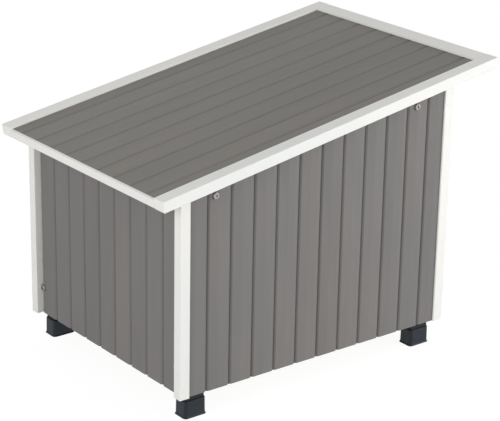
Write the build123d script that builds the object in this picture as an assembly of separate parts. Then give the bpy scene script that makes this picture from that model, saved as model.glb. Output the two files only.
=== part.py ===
from build123d import *
import math
import os

# A small outdoor cat house with a pent roof: a low rear wall, a high front wall with the doorway,
# a boarded roof in a white frame, white corner posts, and four short legs in plastic foot caps.
# Millimetres. +Z is up, the front faces -Y, the origin is on the ground under the roof's middle.

# Driving dimensions of the whole
body_width = 490.0  # X, over the outer faces of the corner posts
body_depth = 620.0  # Y, over the outer faces of the corner posts
ground_gap = 47.0  # from the ground to the bottom of the walls
roof_low_height = 361.0  # from the bottom of the walls to the roof's underside at its low rear edge
roof_slope = 9.7  # degrees
roof_length = 770.0  # along the slope
rear_overhang = 43.0  # level distance from the rear posts to the roof's low rear edge
side_overhang = 15.5  # from the posts' side faces to the roof's edge

# Boards
board_pitch = 50.0  # covered width of one board
board_thickness = 12.0
board_gap = 0.3  # seam left between two boards
bevel_width = 4.2  # bevel on both outer edges of a board, so that two boards meet in a V
bevel_depth = 3.0
tongue_thickness = 3.6
tongue_length = 5.0
tongue_play = 0.25  # play of a tongue in its groove, each side
side_board_count = 12
end_board_count = 9  # boards across the rear wall and across the front wall
roof_board_count = 10

# Corner posts
post_width = 19.0  # X
post_depth = 21.0  # Y
post_edge_radius = 1.5
post_groove_depth = 11.0  # the groove in a post that takes the edge of the side boards
post_foot = 0.6  # the posts end this far below the boards
side_recess = 3.5  # side boards lie this far inside the posts' side faces
end_recess = 11.5  # rear and front boards lie this far inside the posts' end faces
seat_play = 0.2  # gap left where a board or a rail end meets its seat
post_seam = 0.9  # open seam between the posts and the outer boards of the rear and front walls

# Cleats inside the walls
cleat_thickness = 18.0
cleat_height = 30.0
bottom_cleat_lift = 2.0  # above the bottom of the walls

# Roof frame
rail_width = 29.0
rail_height = 20.5
front_rail_width = 30.0
rail_edge_radius = 1.2
roof_board_drop = 4.5  # from the top of the rails down to the boards
rail_groove_depth = 10.0
strip_lip = 5.5  # thickness of the rear strip behind the board ends
strip_width = 25.0
batten_width = 20.0
batten_height = 43.0
rear_batten_place = 117.0  # from the roof's low edge to the batten's middle, along the slope
front_batten_place = 580.0

# Legs and foot caps
leg_depth = 40.0  # Y
leg_width = 26.5  # X
leg_rise = 95.0  # from the bottom of the walls to the leg's top
cap_wall = 3.0
cap_height = 32.5
cap_base = 4.0
cap_corner_radius = 6.0
cap_draft = 0.5  # the cap is narrower by this much at its top, each side
flare_reach = 1.2
flare_height = 2.8
flare_foot = 1.2  # height of the flare's upright rim
cap_play = 0.15  # play of the leg in the cap, each side
cap_rim_radius = 0.8

# Floor
floor_thickness = 12.0
floor_board_count = 9
notch_play = 0.8

# Doorway and its frame, whose members are rebated over the boards
door_clear_width = 160.0
door_clear_height = 220.0
door_sill_rise = 40.0  # from the floor's top to the clear doorway
frame_lining = 10.0
frame_flange = 22.0  # how far the frame covers the boards outside
frame_flange_thickness = 9.0
frame_inner_reach = 6.0  # how far the lining stands inside the wall
frame_edge_radius = 1.2

# Flap
flap_thickness = 3.0
flap_side_play = 3.0
flap_bottom_play = 5.0
flap_corner_radius = 14.0
pin_radius = 2.5
pin_seat = 6.0  # how deep the pin's ends sit in the frame
pin_drop = 8.0  # from the clear doorway's top down to the pin's axis
pin_play = 0.08  # running play of the clips round the pin
clip_width = 26.0
clip_eye_radius = 5.0
clip_plate_height = 24.0
clip_plate_thickness = 2.0
clip_place = 48.0  # from the doorway's middle to each clip's middle
clip_rivet_spacing = 13.0
clip_cheek_play = 0.02
rivet_radius = 1.6
rivet_head_radius = 3.6
rivet_head_height = 1.6

# Bolts, nuts and brackets
bolt_radius = 3.0
bolt_hole_radius = 3.3
thread_play = 0.05
head_radius = 6.5
head_height = 3.4
head_bevel = 0.8
socket_flats = 4.0
socket_depth = 2.4
roof_bolt_length = 68.0
wall_bolt_length = 62.0
wall_bolt_height = 52.0  # above the bottom of the walls
wall_bolt_inset = 10.2  # from the hidden face of the side boards to the bolt's middle
dowel_radius = 5.0
dowel_length = 16.0
dowel_play = 0.2
dowel_inset = 10.0  # from the bolt's tip back to the dowel's middle
nut_flats = 10.0
nut_height = 5.0
washer_radius = 7.0
washer_thickness = 1.5
bracket_leg = 19.0
bracket_width = 16.0
bracket_thickness = 1.8
bracket_hole_place = 12.0  # from the bracket's corner to each hole
bracket_drop = 17.0  # from the boards down to the bracket's middle
screw_shank_radius = 1.6
screw_head_radius = 3.4
screw_length = 13.0
screw_pilot_play = 0.05

# Worked-out places
slope_rad = math.radians(roof_slope)
roof_run = roof_length * math.cos(slope_rad)
roof_nose = rail_height * math.sin(slope_rad)
roof_width = body_width + 2 * side_overhang
low_edge_y = (roof_run + roof_nose) / 2 - roof_nose
rear_y = low_edge_y - rear_overhang
front_y = rear_y - body_depth
middle_y = (rear_y + front_y) / 2
half_width = body_width / 2
wall_z = ground_gap
low_edge_z = wall_z + roof_low_height
side_outer_x = half_width - side_recess
side_inner_x = side_outer_x - board_thickness
rear_outer_y = rear_y - end_recess
rear_inner_y = rear_outer_y - board_thickness
front_outer_y = front_y + end_recess
front_inner_y = front_outer_y + board_thickness
cleat_bottom_z = wall_z + bottom_cleat_lift
floor_z = cleat_bottom_z + cleat_height
floor_top_z = floor_z + floor_thickness
tall_z = low_edge_z + roof_length * math.sin(slope_rad) + 100
board_face_z = rail_height - roof_board_drop
board_under_z = board_face_z - board_thickness
roof_bolt_z = board_under_z - batten_height / 2
door_bottom_z = floor_top_z + door_sill_rise
door_top_z = door_bottom_z + door_clear_height
door_half = door_clear_width / 2
cut_half = door_half + frame_lining
cut_bottom_z = door_bottom_z - frame_lining
cut_top_z = door_top_z + frame_lining
pin_y = front_outer_y + board_thickness / 2
pin_z = door_top_z - pin_drop

dowel_x = side_outer_x - roof_bolt_length + dowel_inset
leg_middle_x = side_inner_x - leg_width / 2
wall_bolt_x = side_inner_x - wall_bolt_inset
wall_bolt_z = wall_z + wall_bolt_height

# The roof's own frame: X across, Y down the slope towards the rear, Z square to the boards
roof_place = Location((0, low_edge_y, low_edge_z), (-roof_slope, 0, 0))
roof_normal = (0, math.sin(slope_rad), math.cos(slope_rad))
roof_underside = Plane(origin=(0, low_edge_y, low_edge_z), z_dir=roof_normal)


def box_between(x0, x1, y0, y1, z0, z1):
    size = (abs(x1 - x0), abs(y1 - y0), abs(z1 - z0))
    middle = ((x0 + x1) / 2, (y0 + y1) / 2, (z0 + z1) / 2)
    return Pos(*middle) * Box(*size)


def under_roof(solid, height=0.0):
    # Cuts a solid off along the slope, height above the underside of the roof's rails
    return split(solid, bisect_by=roof_underside.offset(height), keep=Keep.BOTTOM)


def roof_level(y):
    # How high the underside of the rails is at a place y
    return low_edge_z + (low_edge_y - y) * math.tan(slope_rad)


def end_faces(end):
    # Y of the shown face, the hidden face and the inward direction of the rear (+1) or front (-1) wall
    if end > 0:
        return rear_outer_y, rear_inner_y, -1
    return front_outer_y, front_inner_y, 1


def overlaps(first, second):
    a = first.bounding_box()
    b = second.bounding_box()
    apart_x = a.min.X > b.max.X or a.max.X < b.min.X
    apart_y = a.min.Y > b.max.Y or a.max.Y < b.min.Y
    apart_z = a.min.Z > b.max.Z or a.max.Z < b.min.Z
    return not (apart_x or apart_y or apart_z)


def drill(solids, cuts):
    drilled = []
    for solid in solids:
        for cut in cuts:
            if overlaps(solid, cut):
                solid = solid - cut
        drilled.append(solid)
    return drilled


def rounded_bar(x0, x1, y0, y1, z0, z1, radius, axis):
    bar = box_between(x0, x1, y0, y1, z0, z1)
    return fillet(bar.edges().filter_by(axis), radius)


def board_profile(width, has_tongue=True, has_groove=True):
    # Section of one board: the shown face is at Y = 0, the hidden face at Y = board_thickness.
    # The tongue is at the low X end and the groove at the high X end.
    left = board_gap / 2
    right = width - board_gap / 2
    middle = board_thickness / 2 + 0.6
    tongue = tongue_thickness / 2
    slot = tongue + tongue_play
    points = [(left + bevel_width, 0), (right - bevel_width, 0), (right, bevel_depth)]
    if has_groove:
        slot_floor = right - tongue_length - tongue_play
        points += [(right, middle - slot), (slot_floor, middle - slot)]
        points += [(slot_floor, middle + slot), (right, middle + slot)]
    points += [(right, board_thickness), (left, board_thickness)]
    if has_tongue:
        tip = left - tongue_length
        points += [(left, middle + tongue), (tip, middle + tongue)]
        points += [(tip, middle - tongue), (left, middle - tongue)]
    points.append((left, bevel_depth))
    return points


def board_row(count, field_width, pitch=board_pitch):
    # Start, width, tongue and groove of each board in a row that fills field_width. The two end
    # boards are trimmed alike, and their outer edges are plain.
    end_width = (field_width - (count - 2) * pitch) / 2
    row = []
    start = 0.0
    for index in range(count):
        is_end = index in (0, count - 1)
        width = end_width if is_end else pitch
        row.append((start, width, index > 0, index < count - 1))
        start += width
    return row


def upright_board(points):
    # A board that stands on the wall's bottom line, from its section in plan
    face = Pos(0, 0, wall_z) * make_face(Polyline(*points, close=True).edges())
    return extrude(face, amount=tall_z - wall_z, dir=(0, 0, 1))


# Walls: boards stand side by side, and their top ends follow the roof

def side_wall(side):
    # side is -1 for the left wall and +1 for the right wall
    field = body_depth - 2 * (post_depth - post_groove_depth) - 2 * seat_play
    start_y = middle_y - field / 2
    boards = []
    for start, width, tongue, groove in board_row(side_board_count, field):
        section = board_profile(width, tongue, groove)
        plan = [(side * (side_outer_x - depth), start_y + start + along) for along, depth in section]
        boards.append(under_roof(upright_board(plan)))
    holes = [roof_bolt_hole(side, place) for place in (rear_batten_place, front_batten_place)]
    return drill(boards, holes)


def end_wall(end):
    outer_y, inner_y, inward = end_faces(end)
    field = body_width - 2 * post_width - 2 * post_seam
    boards = []
    for start, width, tongue, groove in board_row(end_board_count, field):
        section = board_profile(width, tongue, groove)
        plan = [(-field / 2 + start + along, outer_y + inward * depth) for along, depth in section]
        boards.append(under_roof(upright_board(plan), board_under_z - seat_play))
    return drill(boards, [wall_bolt_hole(side, end) for side in (-1, 1)])


def front_wall_parts():
    # The front boards are cut out for the door frame: notched boards beside it, short ones above and below
    cut = box_between(-cut_half, cut_half, front_y, front_inner_y + 20, cut_bottom_z, cut_top_z)
    parts = {"left": [], "right": [], "above": [], "below": []}
    for board in end_wall(-1):
        middle_x = board.center().X
        is_cut_through = abs(middle_x) < cut_half - board_pitch / 2
        for piece in (board - cut).solids():
            if is_cut_through and piece.center().Z > cut_top_z:
                parts["above"].append(piece)
            elif is_cut_through:
                parts["below"].append(piece)
            elif middle_x < 0:
                parts["left"].append(piece)
            else:
                parts["right"].append(piece)
    return parts


# Posts, cleats and legs

def corner_post(side, end):
    # end is +1 at the rear and -1 at the front
    outer_y = rear_y if end > 0 else front_y
    inner_y = outer_y - end * post_depth
    post = rounded_bar(
        side * half_width, side * (half_width - post_width), outer_y, inner_y,
        wall_z - post_foot, tall_z, post_edge_radius, Axis.Z,
    )
    groove_half = board_thickness / 2 + seat_play
    groove_x = side * (side_outer_x - board_thickness / 2)
    groove_y = inner_y + end * post_groove_depth
    groove = box_between(groove_x - groove_half, groove_x + groove_half, inner_y - end, groove_y, 0, tall_z)
    return under_roof(post - groove)


def leg(side, end):
    outer_y, inner_y, inward = end_faces(end)
    block = rounded_bar(
        side * side_inner_x, side * (side_inner_x - leg_width), inner_y, inner_y + inward * leg_depth,
        cap_base, wall_z + leg_rise, 1.0, Axis.Z,
    )
    return block - wall_bolt_hole(side, end)


def foot_cap(side, end):
    outer_y, inner_y, inward = end_faces(end)
    middle_x = side * leg_middle_x
    mid_y = inner_y + inward * leg_depth / 2
    half_x = leg_width / 2 + cap_wall
    half_y = leg_depth / 2 + cap_wall

    def outline(z, grow):
        size = (2 * (half_x + grow), 2 * (half_y + grow))
        return Pos(middle_x, mid_y, z) * RectangleRounded(*size, radius=cap_corner_radius + min(grow, 0.5))

    base = loft([outline(0, flare_reach), outline(flare_foot, flare_reach)])
    flare = loft([outline(flare_foot, flare_reach), outline(flare_height, 0)])
    body = loft([outline(flare_height, 0), outline(cap_height, -cap_draft)])
    pocket_size = (leg_width + 2 * cap_play, leg_depth + 2 * cap_play, cap_height)
    pocket = Pos(middle_x, mid_y, cap_base + cap_height / 2) * Box(*pocket_size)
    rim = body.faces().sort_by(Axis.Z)[-1].edges()
    body = fillet(rim, cap_rim_radius)
    return base + flare + body - pocket


def bottom_cleats():
    # They carry the floor and run between the legs on all four walls
    top = cleat_bottom_z + cleat_height
    start_y = rear_inner_y - leg_depth - 1
    end_y = front_inner_y + leg_depth + 1
    reach = side_inner_x - leg_width - 1
    cleats = {}
    for name, side in (("left", -1), ("right", 1)):
        outer = side * side_inner_x
        inner = outer - side * cleat_thickness
        cleats[name] = rounded_bar(outer, inner, start_y, end_y, cleat_bottom_z, top, 1.0, Axis.Y)
    for name, end in (("rear", 1), ("front", -1)):
        outer_y, inner_y, inward = end_faces(end)
        back = inner_y + inward * cleat_thickness
        cleats[name] = rounded_bar(-reach, reach, inner_y, back, cleat_bottom_z, top, 1.0, Axis.X)
    return cleats


def top_cleats():
    # Side cleats slope with the roof and fit between the level end cleats, whose top faces are bevelled
    top = board_under_z - seat_play
    bottom = roof_bolt_z - cleat_height / 2
    pilots = [place * pilot for place in bracket_places() for pilot in bracket_pilots()]
    room = box_between(
        -half_width, half_width,
        rear_inner_y - cleat_thickness - seat_play, front_inner_y + cleat_thickness + seat_play, 0, tall_z,
    )
    cleats = {}
    for name, side in (("left", -1), ("right", 1)):
        outer = side * side_inner_x
        inner = outer - side * cleat_thickness
        bar = roof_place * rounded_bar(outer, inner, 0, -roof_length, bottom, top, 1.0, Axis.Y)
        holes = [roof_bolt_hole(side, place) for place in (rear_batten_place, front_batten_place)]
        cleats[name] = drill([bar & room], holes + pilots)[0]
    for name, end in (("rear", 1), ("front", -1)):
        outer_y, inner_y, inward = end_faces(end)
        level = roof_level(inner_y)
        back = inner_y + inward * cleat_thickness
        low = level - cleat_height
        bar = box_between(-side_inner_x, side_inner_x, inner_y, back, low, level + cleat_height)
        cleats[name] = drill([under_roof(bar, top)], pilots)[0]
    return cleats


def floor_boards():
    # Boards run front to rear on the bottom cleats, and the outer ones are notched round the legs
    pitch = 2 * (side_inner_x - seat_play) / floor_board_count
    start_y = front_inner_y + seat_play
    end_y = rear_inner_y - seat_play
    notches = []
    for side in (-1, 1):
        for end in (-1, 1):
            outer_y, inner_y, inward = end_faces(end)
            notch_x = side * (side_inner_x - leg_width - notch_play)
            notch_y = inner_y + inward * (leg_depth + notch_play)
            low, high = floor_z - 5, floor_top_z + 5
            notches.append(box_between(side * half_width, notch_x, outer_y, notch_y, low, high))
    boards = []
    for start, width, tongue, groove in board_row(floor_board_count, pitch * floor_board_count, pitch):
        section = board_profile(width, tongue, groove)
        left = -pitch * floor_board_count / 2 + start
        points = [(left + along, 0, floor_top_z - depth) for along, depth in section]
        face = Pos(0, start_y, 0) * make_face(Polyline(*points, close=True).edges())
        boards.append(extrude(face, amount=end_y - start_y, dir=(0, 1, 0)))
    return drill(boards, notches)


# Roof, built in the roof's own frame and tilted into place

def roof_rail(side):
    outer = side * roof_width / 2
    inner = outer - side * rail_width
    rail = rounded_bar(outer, inner, 0, -roof_length, 0, rail_height, rail_edge_radius, Axis.Y)
    groove = box_between(
        inner - side, inner + side * rail_groove_depth,
        -strip_lip, -roof_length + front_rail_width - rail_groove_depth,
        board_under_z - seat_play, board_face_z + seat_play,
    )
    return roof_place * (rail - groove)


def roof_front_rail():
    reach = roof_width / 2 - rail_width - 0.1
    back = -roof_length + front_rail_width
    rail = rounded_bar(-reach, reach, -roof_length, back, 0, rail_height, rail_edge_radius, Axis.X)
    groove = box_between(
        -reach - 1, reach + 1, back + 1, back - rail_groove_depth,
        board_under_z - seat_play, board_face_z + seat_play,
    )
    return roof_place * (rail - groove)


def roof_rear_strip():
    reach = roof_width / 2 - rail_width - 0.6
    strip = box_between(-reach, reach, 0, -strip_width, 0, board_face_z)
    strip = fillet(strip.edges().filter_by(Axis.X).sort_by(Axis.Y)[-2:], 1.0)
    seat = box_between(-reach - 1, reach + 1, -strip_lip, -strip_width - 1, board_under_z, board_face_z + 1)
    return roof_place * (strip - seat)


def roof_boards():
    inner = roof_width / 2 - rail_width + rail_groove_depth - 0.5
    back = -strip_lip - seat_play
    front = -roof_length + front_rail_width - rail_groove_depth + 0.5
    boards = []
    for start, width, tongue, groove in board_row(roof_board_count, 2 * inner):
        points = board_profile(width, tongue, groove)
        place = [(-inner + start + along, 0, board_face_z - depth) for along, depth in points]
        face = Pos(0, back, 0) * make_face(Polyline(*place, close=True).edges())
        board = extrude(face, amount=back - front, dir=(0, -1, 0))
        boards.append(roof_place * board)
    return boards


def roof_batten(place):
    # Lies across under the boards, between the side cleats. Each end has the bolt's hole and an
    # upright hole for the cross dowel that the bolt screws into.
    reach = side_inner_x - cleat_thickness - 0.5
    bar = roof_place * rounded_bar(
        -reach, reach, -place - batten_width / 2, -place + batten_width / 2,
        board_under_z - batten_height, board_under_z - 0.02, 1.0, Axis.X,
    )
    dowel_top = roof_bolt_z + dowel_length / 2 + dowel_play
    hang_down = (Align.CENTER, Align.CENTER, Align.MAX)
    well = Cylinder(dowel_radius + dowel_play, batten_height, align=hang_down)
    for side in (-1, 1):
        bar = bar - roof_bolt_hole(side, place)
        bar = bar - roof_place * Pos(side * dowel_x, -place, dowel_top) * well
    return bar


def roof_bolt_hole(side, place):
    middle = side * (side_outer_x - roof_bolt_length / 2)
    rod = Cylinder(bolt_hole_radius, roof_bolt_length + 4, rotation=(0, 90, 0))
    return roof_place * Pos(middle, -place, roof_bolt_z) * rod


def wall_bolt_hole(side, end):
    outer_y, inner_y, inward = end_faces(end)
    rod = Cylinder(bolt_hole_radius, wall_bolt_length + 4, rotation=(90, 0, 0))
    return Pos(side * wall_bolt_x, outer_y + inward * wall_bolt_length / 2, wall_bolt_z) * rod


# Fasteners

def bolt(length):
    # Lies along -X from its head: the head's underside is at X = 0 and the head stands out to +X
    head = Cylinder(head_radius, head_height, align=(Align.CENTER, Align.CENTER, Align.MIN))
    head = chamfer(head.edges().sort_by(Axis.Z)[-1], head_bevel)
    socket = extrude(RegularPolygon(socket_flats / 2 / math.cos(math.pi / 6), 6), amount=socket_depth)
    head = head - Pos(0, 0, head_height - socket_depth) * socket
    shank = Cylinder(bolt_radius, length, align=(Align.CENTER, Align.CENTER, Align.MAX))
    return Rot(0, 90, 0) * (head + shank)


def roof_bolts():
    bolts = []
    for side, turn in ((-1, 180), (1, 0)):
        for place in (rear_batten_place, front_batten_place):
            seat = roof_place * Pos(side * side_outer_x, -place, roof_bolt_z)
            bolts.append(seat * Rot(0, 0, turn) * bolt(roof_bolt_length))
    return bolts


def cross_dowels():
    thread = Cylinder(bolt_radius + thread_play, 4 * dowel_radius, rotation=(0, 90, 0))
    dowel = Cylinder(dowel_radius, dowel_length) - thread
    dowels = []
    for side in (-1, 1):
        for place in (rear_batten_place, front_batten_place):
            dowels.append(roof_place * Pos(side * dowel_x, -place, roof_bolt_z) * dowel)
    return dowels


def wall_bolts():
    bolts = []
    for side in (-1, 1):
        for end in (-1, 1):
            outer_y, inner_y, inward = end_faces(end)
            seat = Pos(side * wall_bolt_x, outer_y, wall_bolt_z)
            bolts.append(seat * Rot(0, 0, 90 * end) * bolt(wall_bolt_length))
    return bolts


def wall_nuts():
    # A washer and a hexagon nut on the inner end of each wall bolt, against the leg
    bore = Cylinder(bolt_radius + thread_play, 30)
    washer = Cylinder(washer_radius, washer_thickness, align=(Align.CENTER, Align.CENTER, Align.MIN))
    nut = extrude(RegularPolygon(nut_flats / 2 / math.cos(math.pi / 6), 6), amount=nut_height)
    solids = []
    for side in (-1, 1):
        for end in (-1, 1):
            outer_y, inner_y, inward = end_faces(end)
            seat = Pos(side * wall_bolt_x, inner_y + inward * leg_depth, wall_bolt_z) * Rot(90 * end, 0, 0)
            solids.append(seat * (washer - bore))
            solids.append(seat * Pos(0, 0, washer_thickness + 0.02) * (nut - bore))
    return solids


# Doorway and flap

def frame_member(flange_x, flange_z, lining_x, lining_z):
    # A rebated bar: its flange lies on the shown face of the boards, its lining goes through the wall
    flange = box_between(*flange_x, front_outer_y - frame_flange_thickness, front_outer_y, *flange_z)
    flange = fillet(flange.edges().group_by(Axis.Y)[0], frame_edge_radius)
    lining = box_between(*lining_x, front_outer_y - 1, front_inner_y + frame_inner_reach, *lining_z)
    return flange + lining


def door_frame():
    outer = cut_half + frame_flange
    inner = door_half - seat_play
    flange_z = (cut_bottom_z - frame_flange, cut_top_z + frame_flange)
    lining_z = (cut_bottom_z + seat_play, cut_top_z - seat_play)
    seat = Cylinder(pin_radius + 0.05, 2 * pin_seat, rotation=(0, 90, 0))
    members = {}
    for name, side in (("left", -1), ("right", 1)):
        flange_x = (side * door_half, side * outer)
        lining_x = (side * door_half, side * (cut_half - seat_play))
        member = frame_member(flange_x, flange_z, lining_x, lining_z)
        members[name] = member - Pos(side * door_half, pin_y, pin_z) * seat
    across = (-inner, inner)
    members["head"] = frame_member(across, (door_top_z, flange_z[1]), across, (door_top_z, lining_z[1]))
    members["sill"] = frame_member(across, (flange_z[0], door_bottom_z), across, (lining_z[0], door_bottom_z))
    return members


def flap_pin():
    length = door_clear_width + 2 * pin_seat - 0.4
    return Pos(0, pin_y, pin_z) * Cylinder(pin_radius, length, rotation=(0, 90, 0))


def rivet_places():
    half = clip_rivet_spacing / 2
    height = pin_z - clip_eye_radius - 2 - clip_plate_height / 2
    return [(place + offset, height) for place in (-clip_place, clip_place) for offset in (-half, half)]


def rivet_hole():
    return Cylinder(rivet_radius + 0.1, 20, rotation=(90, 0, 0))


def flap_panel():
    # A clear sheet that hangs in the doorway, its lower corners rounded
    half = door_half - flap_side_play
    top = pin_z - clip_eye_radius - 1
    bottom = door_bottom_z + flap_bottom_play
    sheet = box_between(-half, half, pin_y - flap_thickness / 2, pin_y + flap_thickness / 2, bottom, top)
    sheet = fillet(sheet.edges().filter_by(Axis.Y).sort_by(Axis.Z)[:2], flap_corner_radius)
    for x, z in rivet_places():
        sheet = sheet - Pos(x, pin_y, z) * rivet_hole()
    return sheet


def flap_clips():
    # Each clip is an eye round the pin with two cheeks that grip the sheet
    inner = flap_thickness / 2 + clip_cheek_play
    outer = inner + clip_plate_thickness
    low = -clip_eye_radius - 2 - clip_plate_height
    eye = Cylinder(clip_eye_radius, clip_width, rotation=(0, 90, 0))
    cheeks = box_between(-clip_width / 2, clip_width / 2, -outer, outer, low, 0)
    cheeks = fillet(cheeks.edges().filter_by(Axis.Y).sort_by(Axis.Z)[:2], 4.0)
    slot = box_between(-clip_width, clip_width, -inner, inner, low - 1, -clip_eye_radius - 0.9)
    bore = Cylinder(pin_radius + pin_play, 2 * clip_width, rotation=(0, 90, 0))
    clip = eye + cheeks - slot - bore
    clips = [Pos(place, pin_y, pin_z) * clip for place in (-clip_place, clip_place)]
    return drill(clips, [Pos(x, pin_y, z) * rivet_hole() for x, z in rivet_places()])


def flap_rivets():
    # A shank through both cheeks and the sheet, with a low domed head on each side
    face = flap_thickness / 2 + clip_cheek_play + clip_plate_thickness
    dome_radius = (rivet_head_radius**2 + rivet_head_height**2) / (2 * rivet_head_height)
    half_way = rivet_head_radius / 2
    half_height = math.sqrt(dome_radius**2 - half_way**2) - dome_radius + rivet_head_height
    arc = ThreePointArc((0, rivet_head_height), (half_way, half_height), (rivet_head_radius, 0))
    half_dome = make_face((arc + Polyline((rivet_head_radius, 0), (0, 0), (0, rivet_head_height))).edges())
    dome = revolve(half_dome, axis=Axis.Y)
    shank = Cylinder(rivet_radius, 2 * face + 0.4, rotation=(90, 0, 0))
    rivet = shank + Pos(0, face + 0.02, 0) * dome + Rot(0, 0, 180) * Pos(0, face + 0.02, 0) * dome
    return [Pos(x, pin_y, z) * rivet for x, z in rivet_places()]


# Angle brackets in the top corners, between side cleats and end cleats

def angle_bracket():
    # The bend is at the origin, one leg lies along +X and one along +Y, both standing on edge
    first = box_between(0, bracket_leg, 0, bracket_thickness, -bracket_width / 2, bracket_width / 2)
    second = box_between(0, bracket_thickness, 0, bracket_leg, -bracket_width / 2, bracket_width / 2)
    bracket = first + second
    bend = bracket.edges().filter_by(Axis.Z).sort_by_distance((0, 0, 0))[0]
    bracket = fillet(bend, bracket_thickness)
    hole = Cylinder(screw_shank_radius + 0.4, 10)
    bracket = bracket - Pos(bracket_hole_place, 0, 0) * Rot(90, 0, 0) * hole
    return bracket - Pos(0, bracket_hole_place, 0) * Rot(0, 90, 0) * hole


def bracket_places():
    places = []
    for side, end, turn in ((1, 1, 180), (-1, 1, -90), (-1, -1, 0), (1, -1, 90)):
        outer_y, inner_y, inward = end_faces(end)
        corner_x = side * (side_inner_x - cleat_thickness)
        corner_y = inner_y + inward * cleat_thickness
        height = roof_level(corner_y) + board_under_z - bracket_drop
        places.append(Pos(corner_x, corner_y, height) * Rot(0, 0, turn))
    return places


def corner_brackets():
    return [place * angle_bracket() for place in bracket_places()]


def screw_seats():
    # Where the two screws of a bracket sit, each pointing into its cleat along -Y
    across = Pos(bracket_hole_place, bracket_thickness, 0)
    along = Pos(bracket_thickness, bracket_hole_place, 0) * Rot(0, 0, -90)
    return (across, along)


def bracket_pilots():
    pilot = Cylinder(screw_shank_radius + screw_pilot_play, 2 * screw_length, rotation=(90, 0, 0))
    return [seat * pilot for seat in screw_seats()]


def wood_screw():
    # Points along -Y, its low domed head stands on the bracket
    shank = Pos(0, -screw_length / 2, 0) * Cylinder(screw_shank_radius, screw_length, rotation=(90, 0, 0))
    ball = Sphere(screw_head_radius) & box_between(-5, 5, 0, 5, -5, 5)
    return shank + scale(ball, by=(1, 0.6, 1))


def bracket_screws():
    return [place * seat * wood_screw() for place in bracket_places() for seat in screw_seats()]


def collect_parts():
    parts = {}
    for index, board in enumerate(roof_boards(), start=1):
        parts[f"roof_board_{index:02d}"] = board
    parts["roof_rail_left"] = roof_rail(-1)
    parts["roof_rail_right"] = roof_rail(1)
    parts["roof_rail_front"] = roof_front_rail()
    parts["roof_strip_rear"] = roof_rear_strip()
    parts["roof_batten_rear"] = roof_batten(rear_batten_place)
    parts["roof_batten_front"] = roof_batten(front_batten_place)
    parts["left_wall_boards"] = side_wall(-1)
    parts["right_wall_boards"] = side_wall(1)
    parts["rear_wall_boards"] = end_wall(1)
    front = front_wall_parts()
    parts["front_boards_left_of_door"] = front["left"]
    parts["front_boards_right_of_door"] = front["right"]
    parts["front_boards_above_door"] = front["above"]
    parts["front_boards_below_door"] = front["below"]
    for end_name, end in (("rear", 1), ("front", -1)):
        for side_name, side in (("left", -1), ("right", 1)):
            corner = f"{end_name}_{side_name}"
            parts[f"corner_post_{corner}"] = corner_post(side, end)
            parts[f"leg_{corner}"] = leg(side, end)
            parts[f"foot_cap_{corner}"] = foot_cap(side, end)
    for name, cleat in bottom_cleats().items():
        parts[f"bottom_cleat_{name}"] = cleat
    for name, cleat in top_cleats().items():
        parts[f"top_cleat_{name}"] = cleat
    parts["floor_boards"] = floor_boards()
    for name, member in door_frame().items():
        parts[f"door_frame_{name}"] = member
    parts["flap_pin"] = flap_pin()
    parts["flap_panel"] = flap_panel()
    parts["flap_clips"] = flap_clips()
    parts["flap_rivets"] = flap_rivets()
    parts["roof_bolts"] = roof_bolts()
    parts["roof_bolt_cross_dowels"] = cross_dowels()
    parts["wall_bolts"] = wall_bolts()
    parts["wall_bolt_nuts"] = wall_nuts()
    parts["top_corner_brackets"] = corner_brackets()
    parts["bracket_screws"] = bracket_screws()
    return parts


def write_parts(parts):
    os.makedirs("parts", exist_ok=True)
    for name, shape in parts.items():
        whole = Compound(children=list(shape)) if isinstance(shape, list) else shape
        export_step(whole, f"parts/{name}.step")
        print(name, "solids", len(whole.solids()))


all_parts = collect_parts()
write_parts(all_parts)
print("nodes", len(all_parts))
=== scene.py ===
import math

import bpy
from mathutils import Matrix, Vector


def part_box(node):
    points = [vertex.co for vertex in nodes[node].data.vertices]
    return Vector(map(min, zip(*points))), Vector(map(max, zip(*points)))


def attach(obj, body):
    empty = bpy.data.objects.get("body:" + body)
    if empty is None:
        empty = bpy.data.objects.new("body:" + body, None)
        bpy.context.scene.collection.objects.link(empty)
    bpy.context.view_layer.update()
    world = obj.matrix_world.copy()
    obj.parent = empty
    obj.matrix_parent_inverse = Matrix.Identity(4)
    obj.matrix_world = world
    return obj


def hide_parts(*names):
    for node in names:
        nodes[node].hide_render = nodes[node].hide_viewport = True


# Cat house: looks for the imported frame. Metres, +Z up, the doorway faces -Y, the low rear wall +Y.

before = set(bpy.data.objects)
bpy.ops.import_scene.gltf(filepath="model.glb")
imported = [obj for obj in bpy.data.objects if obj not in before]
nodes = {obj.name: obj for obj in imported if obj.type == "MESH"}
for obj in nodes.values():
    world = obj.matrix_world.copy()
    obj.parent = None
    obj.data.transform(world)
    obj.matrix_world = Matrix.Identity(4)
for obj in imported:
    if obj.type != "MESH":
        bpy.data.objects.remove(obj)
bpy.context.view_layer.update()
print("frame loaded,", len(nodes), "nodes")


# Places that the frame gives

houseBody = "house"
flapBody = "flap"
corners = ("rear_left", "rear_right", "front_left", "front_right")
boardPitch = 0.050  # covered width of one board
boardShift = (5.0, 0.7, 0.7)  # how far the grain pattern jumps from board to board
roofSlope = math.radians(9.7)
wallLow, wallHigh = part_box("left_wall_boards")


# Camera, at the photograph's place

photo = {
    "place": (-2.59929, 2.02574, 1.47069),
    "heading": 232.025,  # degrees round from the front
    "dip": 20.245,  # degrees below the horizon
    "roll": 1.071,
    "lens": 132.98,  # mm
    "sensorWidth": 36.0,  # mm
    "farthest": 60.0,
}


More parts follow.
